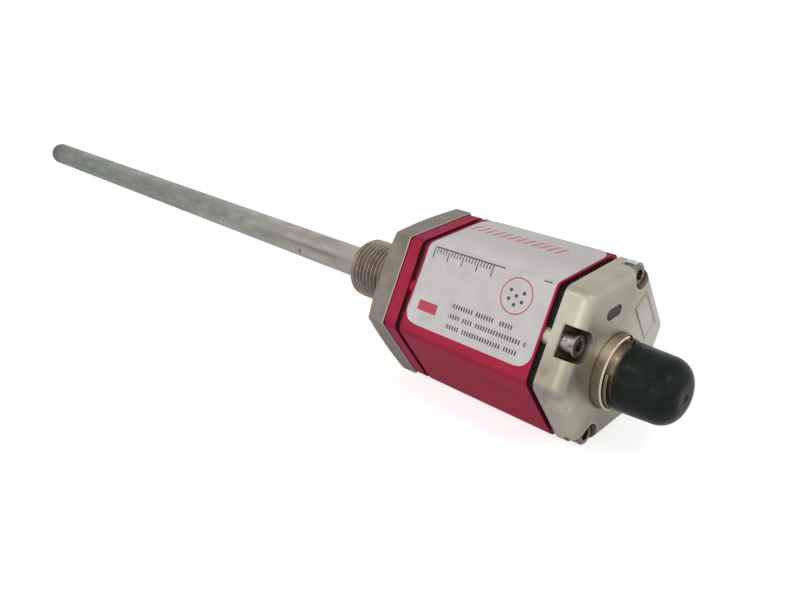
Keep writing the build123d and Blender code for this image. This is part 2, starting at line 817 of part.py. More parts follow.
nodes = {
    "probe_rod": make_probe_rod(),
    "rod_end_plug": make_rod_end_plug(),
    "waveguide": make_waveguide(),
    "return_wire": make_return_wire(),
    "waveguide_sleeve": make_waveguide_sleeve(),
    "damping_plug": make_damping_plug(),
    "threaded_flange": make_threaded_flange(),
    "flange_gasket": make_flange_gasket(),
    "front_ring": make_front_ring(),
    "front_gasket": make_gasket(front_ring_end, front_groove_width, front_foot_radius),
    "housing_sleeve": make_housing_sleeve(),
    "rear_gasket": make_gasket(housing_end, rear_groove_width, rear_foot_radius),
    "rear_end_cap": make_rear_end_cap(),
    "earth_lug": make_earth_lug(),
    "lamp_window": make_lamp_window(),
    "connector_shell": make_connector_shell(),
    "connector_seal": make_connector_seal(),
    "connector_ring": make_connector_ring(),
    "connector_insert": make_connector_insert(),
    "contact_board": make_contact_board(),
    "dust_cap": make_dust_cap(),
    "label": make_label(),
    "converter_block": make_converter_block(),
    "pickup_coil": make_pickup_coil(),
    "bias_magnet": magnet_box(),
    "waveguide_clamp": make_waveguide_clamp(),
    "board_carrier": make_board_carrier(),
    "upper_board": make_board(upper_board_underside, upper_board_gap),
    "lower_board": make_board(lower_board_underside, lower_board_gap),
    "board_header": make_board_header(),
    "controller_chip": make_controller_chip(),
    "power_inductor": make_power_inductor(),
    "indicator_board": make_indicator_board(),
    "ribbon_cable": make_ribbon_cable(),
}
for number in screw_places:
    nodes[f"end_screw_{number}"] = make_end_screw(number)
for number, place in enumerate(pin_places(), start=1):
    nodes[f"contact_pin_{number}"] = make_contact_pin(place)
for number, place in enumerate(capacitor_places, start=1):
    nodes[f"smoothing_capacitor_{number}"] = make_smoothing_capacitor(place)
for number, side in enumerate((-1, 1), start=1):
    nodes[f"indicator_lamp_{number}"] = make_indicator_lamp(side)

os.makedirs("parts", exist_ok=True)
for name, shape in nodes.items():
    shape.label = name
    export_step(shape, f"parts/{name}.step")
print(len(nodes), "parts written")
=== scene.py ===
# %% [markdown]
# # A rod-type position sensor, dressed for its portrait
# The sensor is a stainless rod on a threaded hexagonal flange, with a red hexagonal housing behind it,
# a nickel-plated end cap and a round connector under a black rubber cap. Its solids come from a packed
# model and stay as they are. This notebook gives them finishes, cuts the two screw threads, folds the
# foil label round the housing and sets up light and camera. Lengths are written in millimetres and
# turned into metres once.

# %% The frame
import json
from math import cos, pi, radians, sin, sqrt

import bmesh
import bpy
from mathutils import Matrix, Vector


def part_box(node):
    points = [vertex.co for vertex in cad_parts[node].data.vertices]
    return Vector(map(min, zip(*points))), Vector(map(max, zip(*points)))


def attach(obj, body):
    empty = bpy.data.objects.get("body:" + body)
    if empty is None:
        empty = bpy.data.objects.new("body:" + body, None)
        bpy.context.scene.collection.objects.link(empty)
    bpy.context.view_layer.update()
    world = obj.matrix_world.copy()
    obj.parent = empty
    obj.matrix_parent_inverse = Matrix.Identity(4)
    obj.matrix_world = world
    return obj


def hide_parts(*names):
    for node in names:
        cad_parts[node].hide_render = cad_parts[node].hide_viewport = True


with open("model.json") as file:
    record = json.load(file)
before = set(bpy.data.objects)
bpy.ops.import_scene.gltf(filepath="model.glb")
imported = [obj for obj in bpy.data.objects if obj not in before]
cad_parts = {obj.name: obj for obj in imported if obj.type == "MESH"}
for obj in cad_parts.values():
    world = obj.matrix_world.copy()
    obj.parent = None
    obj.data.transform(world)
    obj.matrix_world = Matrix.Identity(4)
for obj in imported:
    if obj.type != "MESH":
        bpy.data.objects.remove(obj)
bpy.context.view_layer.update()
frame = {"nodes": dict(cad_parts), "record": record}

MM = 0.001
nodes = frame["nodes"]
record = frame["record"]

# %% [markdown]
# ## The camera first
# The photograph was taken from the connector's end, a little above and to the left of the housing, so
# the rod runs away into the distance and gets thinner. A lens is given by its focal length against the
# sensor's width. The place and the two angles below put the housing's corners where the photograph has
# them, and a small roll is left because the camera wasn't held level.

# %% Camera
camera_place = Vector((150.96, -157.58, 99.80)) * MM
camera_azimuth = radians(46.01)
camera_elevation = radians(25.41)
camera_roll = radians(-2.47)
lens_mm = 35.09
sensor_width_mm = 36.0

forward = Vector((
    -sin(camera_azimuth) * cos(camera_elevation),
    cos(camera_azimuth) * cos(camera_elevation),
    -sin(camera_elevation),
))
level_right = Vector((cos(camera_azimuth), sin(camera_azimuth), 0))
level_up = level_right.cross(forward)
right = cos(camera_roll) * level_right + sin(camera_roll) * level_up
up = cos(camera_roll) * level_up - sin(camera_roll) * level_right

camera_data = bpy.data.cameras.new("portrait_camera")
camera_data.lens = lens_mm
camera_data.sensor_width = sensor_width_mm
camera_data.clip_start = 0.01
camera_data.clip_end = 20
camera = bpy.data.objects.new("portrait_camera", camera_data)
turned = Matrix((right, up, -forward)).transposed().to_4x4()
camera.matrix_world = Matrix.Translation(camera_place) @ turned
bpy.context.scene.collection.objects.link(camera)
bpy.context.scene.camera = camera
print("camera", [round(value / MM) for value in camera_place], "mm, lens", lens_mm, "mm")

# %% [markdown]
# ## Measures from the solids
# A piece that is made here has to sit on what carries it, so its places come from the solids' own
# boxes. Only what a box can't tell, such as a thread's pitch, is written down as a value of its own.

# %% Places read from the solids
flange_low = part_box("threaded_flange")[0]
housing_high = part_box("housing_sleeve")[1]
label_low, label_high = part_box("label")
shell_low, shell_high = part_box("connector_shell")
ring_low, ring_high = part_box("connector_ring")
rod_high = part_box("probe_rod")[1]

rod_radius = rod_high.z
housing_half = housing_high.z
label_thickness = label_high.z - housing_half
connector_axis = ((shell_low.y + shell_high.y) / 2, (shell_low.z + shell_high.z) / 2)
screw_axes = []
for number in (1, 2, 3):
    low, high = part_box(f"end_screw_{number}")
    screw_axes.append(((low.y + high.y) / 2, (low.z + high.z) / 2))
print("rod %.2f mm, housing %.2f mm across flats" % (2 * rod_radius / MM, 2 * housing_half / MM))

# %% [markdown]
# ## Colours and nodes
# Colours are picked as sRGB hex values, as a paint chart shows them, while shaders add up light in
# linear values. One function turns the first into the second. Another adds a node, sets its options and
# fills its sockets with numbers or links, so that each finish below reads as a short recipe.

# %% Helpers for materials
def linear(hex_colour):
    """A linear RGBA colour from an sRGB hex value."""
    channels = [int(hex_colour[i:i + 2], 16) / 255 for i in (1, 3, 5)]
    return [c / 12.92 if c <= 0.04045 else ((c + 0.055) / 1.055) ** 2.4 for c in channels] + [1.0]


def add_node(material, kind, *inputs, out=0, **options):
    """Adds a shader node and gives one of its outputs.

    Inputs are numbers or sockets in their order. An option with a capital is an input by its name,
    and any other option is one of the node's settings.
    """
    tree = material.node_tree
    node = tree.nodes.new("ShaderNode" + kind)
    values = {place: value for place, value in enumerate(inputs) if value is not None}
    for name, value in options.items():
        if name[0].isupper():
            values[name] = value
        else:
            setattr(node, name, value)
    for socket, value in values.items():
        if isinstance(value, bpy.types.NodeSocket):
            tree.links.new(value, node.inputs[socket])
        else:
            node.inputs[socket].default_value = value
    return node.outputs[out]


def new_material(name, **shader_values):
    """A material with a Principled shader. What is even all over is set on the shader's own sockets."""
    material = bpy.data.materials.new(name)
    material.use_nodes = True
    shader = material.node_tree.nodes["Principled BSDF"]
    for key, value in shader_values.items():
        shader.inputs[key.replace("_", " ")].default_value = value
    return material, shader


print("mid grey #808080 is", round(linear("#808080")[0], 3), "in linear light")

# %% [markdown]
# ## Patterns in real millimetres
# Wear and grain come from cloudy noise. The noise repeats about once per unit, so the surface point is
# first turned into millimetres and the scale is one over the grain's size. Squeezing one axis stretches
# the clouds into streaks along it, which is how drawn, extruded and brushed metal looks. The marks of
# drawing and turning are finer than a tenth of a millimetre on the real sensor. Here they are drawn 0.3
# to 0.6 mm wide, because finer ones wouldn't show at this distance. Stains, and in some finishes painted
# highlights, reflections and shade, then go over the plain tint one after the other, each through a mask
# of its own.

# %% Helpers for patterns
def place_in_mm(material, squeeze=(1.0, 1.0, 1.0)):
    """The surface point in millimetres in the sensor's own frame, squeezed along its axes on request."""
    place = add_node(material, "TexCoord", out="Object")
    factors = [value / MM for value in squeeze]
    return add_node(material, "VectorMath", place, factors, operation="MULTIPLY")


def clouds(material, vector, grain, low=0.35, high=0.65, detail=4.0):
    """Cloudy noise from 0 to 1, with patches about as large as the grain in millimetres."""
    noise = add_node(material, "TexNoise", Vector=vector, Scale=1 / grain, Detail=detail)
    return add_node(material, "MapRange", noise, low, high)


def overlap(material, *masks):
    """1 where all of the masks are 1. A plain number among them is a strength."""
    joined = masks[0]
    for mask in masks[1:]:
        joined = add_node(material, "Math", joined, mask, operation="MULTIPLY")
    return joined


def layered_tint(material, tint, *colour_layers):
    """Lays stains and painted light on a tint in turn, each a mask, strength and hex or socket colour."""
    skipped = [None] * 5            # this node's sockets for plain numbers and vectors
    for mask, strength, colour in colour_layers:
        factor = overlap(material, mask, strength)
        shades = [linear(shade) if isinstance(shade, str) else shade for shade in (tint, colour)]
        tint = add_node(material, "Mix", factor, *skipped, *shades, out=2, data_type="RGBA")
    return tint


def wire(material, source, shader, socket):
    """Feeds one of the shader's sockets."""
    material.node_tree.links.new(source, shader.inputs[socket])


def relief(material, shader, height, depth):
    """Bumps of that depth in millimetres from a height between 0 and 1."""
    bump = add_node(material, "Bump", Height=height, Distance=depth * MM, Strength=1.0)
    wire(material, bump, shader, "Normal")


def distance_from_line(material, axis):
    """Distance in millimetres from a line along X through Y and Z."""
    offset = (0.0, axis[0] / MM, axis[1] / MM)
    across = place_in_mm(material, (0.0, 1.0, 1.0))
    return add_node(material, "VectorMath", across, offset, operation="DISTANCE", out="Value")


def along_axis(material):
    """Place along X in millimetres."""
    return add_node(material, "SeparateXYZ", place_in_mm(material))


def near_point(material, point, reach):
    """1 at a point in millimetres, fading to 0 at that distance."""
    place = place_in_mm(material)
    away = add_node(material, "VectorMath", place, point, operation="DISTANCE", out="Value")
    return add_node(material, "MapRange", away, reach * 0.4, reach, 1.0, 0.0)


def chamfer_highlight_mask(material):
    """1 on faces that lean halfway towards +X, the chamfers and rounded rims at a piece's back, where a
    highlight is painted.
    """
    normal = add_node(material, "TexCoord", out="Normal")
    leaning = add_node(material, "SeparateXYZ", normal)
    off_side = add_node(material, "MapRange", leaning, 0.3, 0.5)
    off_end = add_node(material, "MapRange", leaning, 0.95, 0.85)
    return overlap(material, off_side, off_end)


print("pattern helpers ready")

# %% [markdown]
# ## Stainless steel
# The flange is cut from drawn hexagonal bar. A metal has no colour of its own under the reflection,
# only a tint, here a warm grey, and its look comes from how rough it is: this one is satin, with cloudy
# patches from handling and faint lines along the bar. Its back edge is broken by a small chamfer, and
# the faces that lean towards +X get a brighter tint there as a painted highlight. The thread keeps dark
# grease in its roots, which shows as a tint that depends on the distance from the axis.

# %% Flange and thread
thread_crest = 9.525            # 3/4 inch across
thread_pitch = 25.4 / 16
thread_depth = 0.6134 * thread_pitch    # as screw threads with flanks at 60 degrees are cut


def satin_bar():
    """Warm grey satin stainless steel with a painted highlight on its back edge."""
    material, shader = new_material("stainless_steel_drawn_bar", Metallic=1.0, Roughness=0.45)
    patches = clouds(material, place_in_mm(material), 6.0)
    lines = clouds(material, place_in_mm(material, (0.08, 1.0, 1.0)), 0.5)
    tint = layered_tint(
        material, "#7F766C",
        (patches, 1.0, "#938A80"),
        (lines, 0.2, "#6B6359"),
        # painted highlight on the back chamfer
        (chamfer_highlight_mask(material), 1.0, "#B0A69D"),
    )
    wire(material, tint, shader, "Base Color")
    wire(material, add_node(material, "MapRange", patches, 0.0, 1.0, 0.4, 0.52), shader, "Roughness")
    relief(material, shader, lines, 0.004)
    return material


def greasy_thread():
    """Cut stainless thread: dull crests, brown grease towards the roots."""
    material, shader = new_material("stainless_steel_cut_thread", Metallic=1.0, Roughness=0.42)
    radius = distance_from_line(material, (0.0, 0.0))
    height = add_node(material, "MapRange", radius, thread_crest - thread_depth, thread_crest)
    patches = clouds(material, place_in_mm(material), 3.0)
    root = layered_tint(material, "#6B5F54", (patches, 1.0, "#7E7266"))
    crest = layered_tint(material, "#A0948A", (patches, 1.0, "#C2B6AA"))
    wire(material, layered_tint(material, root, (height, 1.0, crest)), shader, "Base Color")
    return material


flange_steel = satin_bar()
thread_steel = greasy_thread()
print("thread: pitch %.3f mm, depth %.2f mm" % (thread_pitch, thread_depth))

# %% [markdown]
# ## The drawn rod
# The rod is a drawn tube with a dull skin. Drawing leaves soft streaks along it, and handling leaves
# blotches, some greenish, some warm. Near the flange it is clean up to a faint ring, and towards the
# tip it turns greenish grey, with a dark, heat-stained end where the plug is welded in. A patchy painted
# dark reflection runs along the side that faces the camera. Near the flange it has a dark line in its
# middle, and a small pit lies under it.

# %% Where the rod changes
# angle round the rod of the painted dark reflection
reflection_angle = radians(148.0)
line_angle = radians(159.0)

# the rest are places in mm, all along X but the pit
skin_clears = (-150.0, -60.0)   # from dull to clean
blotch_and_reflection_fade = (-140.0, -50.0)   # blotches and the painted reflection get weaker
line_grows = (-100.0, -45.0)    # the dark line sets in
clean_start = (-37.6, -37.0)    # the faint ring, where the clean end begins
tip_darkens = (-190.0, -257.0)
tip_stain = (-253.0, -261.0)    # the heat-stained end begins
pit = (-56.9, -4.9, -0.8)
print("the clean end begins at x = %.1f mm" % clean_start[0])


# %% Rod finish
def distance_from_side(material, angle):
    """Distance in millimetres from a line along the rod's skin."""
    return distance_from_line(material, (rod_radius * cos(angle), rod_radius * sin(angle)))


def rod_skin(material, x):
    """Soft streaks from drawing, dull towards the tip and clean near the flange."""
    streaks = clouds(material, place_in_mm(material, (0.05, 1.0, 1.0)), 2.2, detail=3.0)
    dull = layered_tint(material, "#858A84", (streaks, 1.0, "#9CA09A"))
    clean = layered_tint(material, "#AFA9A1", (streaks, 1.0, "#C3BDB5"))
    return layered_tint(material, dull, (add_node(material, "MapRange", x, *skin_clears), 1.0, clean))


def painted_dark_reflection(material, x, blotches):
    """A patchy painted dark reflection along one side that fades towards the flange."""
    beside = add_node(material, "MapRange", distance_from_side(material, reflection_angle), 3.4, 0.8)
    patchy = add_node(material, "MapRange", blotches, 0.0, 1.0, 0.2, 0.55)
    return overlap(material, beside, patchy, add_node(material, "MapRange", x, *blotch_and_reflection_fade, 1.0, 0.6))


def dark_line(material, x, blotches):
    """1 on a thin line that wanders a little, near the flange."""
    wander = add_node(material, "MapRange", blotches, 0.0, 1.0, -0.4, 0.4)
    away = distance_from_side(material, line_angle)
    away = add_node(material, "Math", away, wander, operation="ADD")
    away = add_node(material, "Math", away, operation="ABSOLUTE")
    thin = add_node(material, "MapRange", away, 1.0, 0.25)
    return overlap(material, thin, add_node(material, "MapRange", x, *line_grows))


def drawn_tube():
    """Drawn stainless tube: streaks, blotches, a painted dark reflection along it and a darker end."""
    material, shader = new_material("stainless_steel_drawn_tube", Metallic=1.0, Roughness=0.42)
    x = along_axis(material)
    blotches = clouds(material, place_in_mm(material, (0.4, 1.0, 1.0)), 3.2)
    warm = clouds(material, place_in_mm(material, (0.5, 1.0, 1.0)), 2.3, 0.5, 0.7)
    specks = clouds(material, place_in_mm(material, (0.5, 1.0, 1.0)), 0.7)
    greenish = overlap(material, blotches, add_node(material, "MapRange", x, *blotch_and_reflection_fade, 1.0, 0.75))
    tint = layered_tint(
        material, rod_skin(material, x),
        (greenish, 0.6, "#8B8F87"),
        (warm, 0.45, "#B3A7A1"),
        (specks, 0.2, "#7E7F77"),
        # painted dark reflection along the side that faces the camera
        (painted_dark_reflection(material, x, blotches), 1.0, "#6C726A"),
        (dark_line(material, x, blotches), 0.6, "#66614F"),
        (near_point(material, pit, 1.1), 0.8, "#4C483E"),
        (add_node(material, "MapRange", x, *clean_start), 0.35, "#B2A9A1"),
        (add_node(material, "MapRange", x, *tip_darkens), 0.45, "#636964"),
        (add_node(material, "MapRange", x, *tip_stain), 0.75, "#545D59"),
    )
    wire(material, tint, shader, "Base Color")
    wire(material, add_node(material, "MapRange", blotches, 0.0, 1.0, 0.36, 0.5), shader, "Roughness")
    relief(material, shader, specks, 0.006)
    return material


rod_steel = drawn_tube()
print("finish:", rod_steel.name)

# %% [markdown]
# ## Red anodised aluminium
# The housing is an extrusion, so faint lines run along it. Anodising is a clear, dyed skin on the
# metal: light passes the dye on its way in and out, so even the reflections are red. That is why the
# shader is mostly metal with a crimson tint, while a part of plain pigment keeps it from looking like a
# glass ball. The oxide's own surface adds a thin colourless coat, which greys the faces that are seen
# at a flat angle.

# %% Red housing
def red_anodised():
    """Crimson dyed skin with extrusion lines along X and a few paler scuffs."""
    material, shader = new_material(
        "aluminium_anodised_red", Metallic=0.75, Roughness=0.42, Specular_IOR_Level=0.2,
        Specular_Tint=linear("#E8A8BC"), Coat_Weight=0.16, Coat_Roughness=0.3)
    lines = clouds(material, place_in_mm(material, (0.01, 1.0, 1.0)), 0.6)
    patches = clouds(material, place_in_mm(material, (0.4, 1.0, 1.0)), 9.0)
    scuffs = clouds(material, place_in_mm(material, (0.4, 1.0, 1.0)), 0.8, 0.68, 0.76)
    tint = layered_tint(
        material, "#98213B",
        (patches, 1.0, "#AD2B45"),
        (lines, 0.25, "#841A32"),
        (scuffs, 1.0, "#9A4055"),
    )
    wire(material, tint, shader, "Base Color")
    wire(material, add_node(material, "MapRange", patches, 0.0, 1.0, 0.38, 0.5), shader, "Roughness")
    relief(material, shader, lines, 0.006)
    return material


housing_red = red_anodised()
print("finish:", housing_red.name)

# %% [markdown]
# ## Nickel on a zinc casting
# The end cap is die-cast and plated with satin nickel, which is warmer than steel, almost champagne.
# Under the plating the casting keeps soft waves. Dirt has settled where nobody wipes: on the floor and
# the walls of the recesses round the screw heads. A recess is a slot that opens outwards, so the stain
# depends on the distance from the slot's middle line, which starts at the screw's axis. A painted
# highlight runs round the recesses' rims, and two corners of the cap are painted lighter as painted
# light. Grime lies beside the first recess, and the face is darker towards its bottom. The lower corner
# has grey scuffs, a brown run of dirt starts at the first recess, and a thin dark ring lies where the
# connector's collar stands on the face.

# %% Where the end cap is worn
recess_slots = ((150.0, 4.15), (62.0, 3.65), (242.0, 3.65))     # degrees outwards and half width in mm
screw_head = 3.5                # mm high, standing on the recess's floor
end_face_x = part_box("rear_end_cap")[1].x / MM
recess_floor_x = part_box("end_screw_1")[1].x / MM - screw_head
collar_radius = (shell_high.y - shell_low.y) / 2 / MM
painted_light_and_dark_spots = (               # place and reach in mm, strength, colour
    # painted highlight on the end face's left corner
    ((65.6, -21.5, -4.0), 6.0, 0.45, "#DAD7CD"),
    # grime beside the first recess
    ((61.0, -22.2, 2.5), 9.0, 0.6, "#8B8474"),
    # darker towards the bottom of the face
    ((65.6, -5.0, -19.0), 12.0, 0.6, "#8F8B78"),
    # painted light on the end face's right corner
    ((65.6, 20.0, 2.0), 20.0, 0.7, "#DAD7CD"),
)
scuffed_corner = (61.0, -23.0, -5.0)
run_of_dirt = (59.4, -22.6, 3.4)
print("recess floor at x = %.2f mm" % recess_floor_x)


# %% Recesses
def distance_from_slot(material, axis, degrees):
    """Distance in millimetres from a half line that starts on an axis along X and runs outwards."""
    start = (0.0, axis[0] / MM, axis[1] / MM)
    outwards = (0.0, cos(radians(degrees)), sin(radians(degrees)))
    across = place_in_mm(material, (0.0, 1.0, 1.0))
    away = add_node(material, "VectorMath", across, start, operation="SUBTRACT")
    along = add_node(material, "VectorMath", away, outwards, operation="DOT_PRODUCT", out="Value")
    along = add_node(material, "Math", along, 0.0, operation="MAXIMUM")
    foot = add_node(material, "VectorMath", outwards, Scale=along, operation="SCALE")
    return add_node(material, "VectorMath", away, foot, operation="DISTANCE", out="Value")


def recess_dirt_and_rim_highlight(material, x, fine, axis, degrees, half_width):
    """The dirt inside one recess and a painted highlight on the rim round it."""
    away = distance_from_slot(material, axis, degrees)
    near = add_node(material, "MapRange", away, half_width - 0.1, half_width + 0.12, 1.0, 0.0)
    deep = add_node(material, "MapRange", x, end_face_x - 0.1, recess_floor_x + 0.3, 0.1, 0.8)
    above_floor = add_node(material, "MapRange", x, recess_floor_x - 0.6, recess_floor_x - 0.2)
    patchy = add_node(material, "MapRange", fine, 0.0, 1.0, 0.75, 1.0)
    dirt = overlap(material, near, deep, above_floor, patchy)
    # painted highlight on the end face just outside the recess's rim
    close = add_node(material, "MapRange", away, half_width + 0.5, half_width + 0.15)
    outside = add_node(material, "Math", 1.0, near, operation="SUBTRACT")
    on_face = add_node(material, "MapRange", x, end_face_x - 0.5, end_face_x - 0.2)
    rim = overlap(material, close, outside, on_face)
    return [(dirt, 1.0, "#665240"), (rim, 0.7, "#E4DDCB")]


print(len(recess_slots), "recesses to stain")


# %% End cap finish
def plated_casting():
    """Satin champagne nickel: soft waves, dirt in the recesses, grey scuffs and painted highlights."""
    material, shader = new_material("zinc_casting_nickel_plated", Metallic=1.0, Roughness=0.44)
    place = place_in_mm(material)
    x = along_axis(material)
    waves = clouds(material, place, 7.0)
    fine = clouds(material, place, 0.8)
    scuffs = clouds(material, place, 2.4, 0.5, 0.75, detail=1.0)
    specks = clouds(material, place, 1.6, 0.35, 0.75, detail=1.0)
    colour_layers = [(waves, 1.0, "#BFBBAB"), (fine, 0.15, "#A39F8F")]
    for point, reach, strength, colour in painted_light_and_dark_spots:
        colour_layers.append((near_point(material, point, reach), strength, colour))
    colour_layers.append((overlap(material, scuffs, near_point(material, scuffed_corner, 8.0)), 0.55, "#77757A"))
    colour_layers.append((overlap(material, specks, near_point(material, run_of_dirt, 2.6)), 0.6, "#7A6848"))
    for axis, (degrees, half_width) in zip(screw_axes, recess_slots):
        colour_layers += recess_dirt_and_rim_highlight(material, x, fine, axis, degrees, half_width)
    # a thin dark ring round the foot of the connector's collar
    from_collar = distance_from_line(material, connector_axis)
    collar_foot = add_node(material, "MapRange", from_collar, collar_radius + 0.75, collar_radius + 0.1)
    colour_layers.append((collar_foot, 0.8, "#5C4B35"))
    wire(material, layered_tint(material, "#B1AD9D", *colour_layers), shader, "Base Color")
    wire(material, add_node(material, "MapRange", waves, 0.0, 1.0, 0.4, 0.5), shader, "Roughness")
    relief(material, shader, waves, 0.03)
    return material


end_cap_nickel = plated_casting()
print("finish:", end_cap_nickel.name)

# %% [markdown]
# ## Turned and plated brass
# The connector is turned, so its marks are rings round its own axis. A ring is where the place along
# the axis and the distance from it don't change, so the noise is fed with just those two numbers. The
# collar gets a painted highlight near its top and a painted dark reflection below, and its rounded rims
# get a painted highlight.

# %% Connector finish
# places in mm of a painted highlight and a painted dark reflection on the collar
collar_highlight_spot = (66.2, -6.6, 6.0)
collar_dark_reflection_spot = (66.3, -10.5, 1.8)


def turned_brass():
    """Nickel-plated brass with fine turning rings, painted highlights and a painted dark reflection."""
    material, shader = new_material("brass_turned_nickel_plated", Metallic=1.0, Roughness=0.3)
    from_axis = distance_from_line(material, connector_axis)
    where = add_node(material, "CombineXYZ", along_axis(material), from_axis)
    rings = clouds(material, where, 0.3)
    patches = clouds(material, place_in_mm(material), 5.0)
    tint = layered_tint(
        material, "#8C8172",
        (patches, 1.0, "#9C9183"),
        (rings, 0.25, "#6A6050"),
        # painted highlight near the collar's top
        (near_point(material, collar_highlight_spot, 5.6), 0.85, "#DDD2BE"),
        # painted dark reflection lower on the collar
        (near_point(material, collar_dark_reflection_spot, 3.4), 0.75, "#6A6150"),
        # painted highlight on the rounded rims
        (chamfer_highlight_mask(material), 1.0, "#D6CDBE"),
    )
    wire(material, tint, shader, "Base Color")
    wire(material, add_node(material, "MapRange", patches, 0.0, 1.0, 0.24, 0.38), shader, "Roughness")
    relief(material, shader, rings, 0.01)
    return material


connector_nickel = turned_brass()
print("finish:", connector_nickel.name)

# %% [markdown]
# ## Rubber, plastic and small metal
# The rest needs less. Each finish is one colour that wanders a little between two shades, with a grain
# for its relief. It goes on every solid whose slot in the record has its name, and two solids have one
# of their own. Rubber and plastic aren't metals, so they keep their own colour under a faint gloss. The
# dust cap is dipped vinyl with a smooth skin, so its highlights are broad and soft.

# %% Shaded finishes
def shaded(name, first, second, patch=3.0, grain=0.3, depth=0.004, **shader_values):
    """A finish that wanders between two shades, with a fine grain."""
    material, shader = new_material(name, **shader_values)
    patches = clouds(material, place_in_mm(material), patch)
    wire(material, layered_tint(material, first, (patches, 1.0, second)), shader, "Base Color")
    relief(material, shader, clouds(material, place_in_mm(material), grain), depth)
    return material


def solder_mask():
    """Glass epoxy board under green lacquer: the edges of a cell pattern pass for copper tracks."""
    material, shader = new_material("glass_epoxy_solder_mask", Roughness=0.35)
    from_edge = add_node(
        material, "TexVoronoi", Vector=place_in_mm(material), Scale=0.4, feature="DISTANCE_TO_EDGE")
    tracks = add_node(material, "MapRange", from_edge, 0.05, 0.09, 1.0, 0.0)
    wire(material, layered_tint(material, "#12472A", (tracks, 1.0, "#2F7A48")), shader, "Base Color")
    return material


print("recipes for the small pieces ready")

# %% A finish for each slot
finishes = {
    "stainless": flange_steel,
    "rod_steel": rod_steel,
    "red_paint": housing_red,
    "nickel_casting": end_cap_nickel,
    "connector_nickel": connector_nickel,
    "screw_steel": shaded("steel_zinc_plated_dull", "#6E665F", "#A59B92", 1.2,
                          Metallic=1.0, Roughness=0.36),
    "dark_seal": shaded("rubber_sheet_black", "#0B0F0E", "#171C1A", 4.0, 0.5, 0.02,
                        Roughness=0.6, Specular_IOR_Level=0.2),
    "cap_rubber": shaded("vinyl_dipped_black", "#1D231E", "#262C27", 5.0, 5.0, 0.09,
                         Roughness=0.24, Specular_IOR_Level=0.085),
    "smoked_lens": shaded("polycarbonate_smoked", "#141518", "#2A2A30", 1.5,
                          Roughness=0.25, Specular_IOR_Level=0.3),
    "white_plastic": shaded("polyamide_natural", "#D6D5CC", "#E4E3DA", Roughness=0.5),
    "black_plastic": shaded("polyamide_black", "#17181A", "#232527", Roughness=0.5),
    "circuit_board": solder_mask(),
    "copper": shaded("copper_enamelled", "#A85A2C", "#C97A45", Metallic=1.0, Roughness=0.35),
    "magnet": shaded("magnet_nickel_plated", "#8C8C8E", "#A9A9AB", Metallic=1.0, Roughness=0.3),
    "gold_pin": shaded("brass_gold_plated", "#C99A3C", "#E0B658", Metallic=1.0, Roughness=0.25),
    "wire_alloy": shaded("nickel_iron_wire", "#93908A", "#ABA8A1", Metallic=1.0, Roughness=0.35),
    "aluminium_can": shaded("aluminium_deep_drawn", "#A9AAAC", "#C2C3C5",
                            Metallic=1.0, Roughness=0.35),
    "grey_cable": shaded("pvc_flat_cable", "#85868A", "#9A9BA0", Roughness=0.45),
}
own_finishes = {
    "earth_lug": shaded("steel_tin_plated_bright", "#A4ADB3", "#DDE4E9", 0.8,
                        Metallic=1.0, Roughness=0.25),
    "front_gasket": shaded("rubber_cord_dusty", "#2E1D1C", "#44302D", 2.0, 0.5, 0.02,
                           Roughness=0.6, Specular_IOR_Level=0.2),
}
dressed = []
for subpart in record["subparts"]:
    finish = own_finishes.get(subpart["node"], finishes.get(subpart["material_slot"]))
    if finish:
        nodes[subpart["node"]].data.materials.clear()
        nodes[subpart["node"]].data.materials.append(finish)
        dressed.append(subpart["node"])
print(len(finishes) + len(own_finishes), "finishes on", len(dressed), "solids")

# %% [markdown]
# ## Cutting a screw thread
# A bump can't give a thread its toothed outline, so it is a mesh. The skin is a grid wound round the
# axis: each turn has four stations across the tooth, and each step round moves them a little along, so
# the last column of one turn meets the first column of the next. The ends are then cut square, the
# first turn fades into the lead chamfer where the radius is held under a cone, and a bore and two caps
# close the piece.

# %% Threaded skin
tooth = ((0.0, 0.0), (0.22, 0.0), (0.52, 1.0), (0.66, 1.0))       # share of the pitch, share of the depth
same_place = 1e-6               # metres
cut_gap = 1e-7                  # metres


def thread_skin(bm, start, end, crest, depth, pitch, steps=96):
    """An open threaded skin along X that is cut square at both ends."""
    turns_before = 2
    turns_after = 3                 # too many at both ends, so that the cuts go through whole teeth
    rows = (turns_before + int((end - start) / pitch) + turns_after) * len(tooth)
    ring = []
    for row in range(rows):
        turn, station = divmod(row, len(tooth))
        share, height = tooth[station]
        radius = crest - depth + height * depth
        for step in range(steps):
            angle = 2 * pi * step / steps
            x = start + (turn - turns_before + share + step / steps) * pitch
            ring.append(bm.verts.new((x, radius * cos(angle), radius * sin(angle))))
    for row in range(rows - len(tooth) - 1):
        for step in range(steps):
            here = row * steps + step
            beside = here + 1 if step + 1 < steps else (row + len(tooth)) * steps
            bm.faces.new((ring[here], ring[beside], ring[beside + steps], ring[here + steps]))
    for x, side in ((start, -1), (end, 1)):
        everything = bm.verts[:] + bm.edges[:] + bm.faces[:]
        bmesh.ops.bisect_plane(
            bm, geom=everything, dist=cut_gap, plane_co=(x, 0, 0), plane_no=(side, 0, 0),
            clear_outer=True)
    loose = [v for v in bm.verts if not v.link_faces]
    bmesh.ops.delete(bm, geom=loose, context="VERTS")


print("a tooth has", len(tooth), "stations")


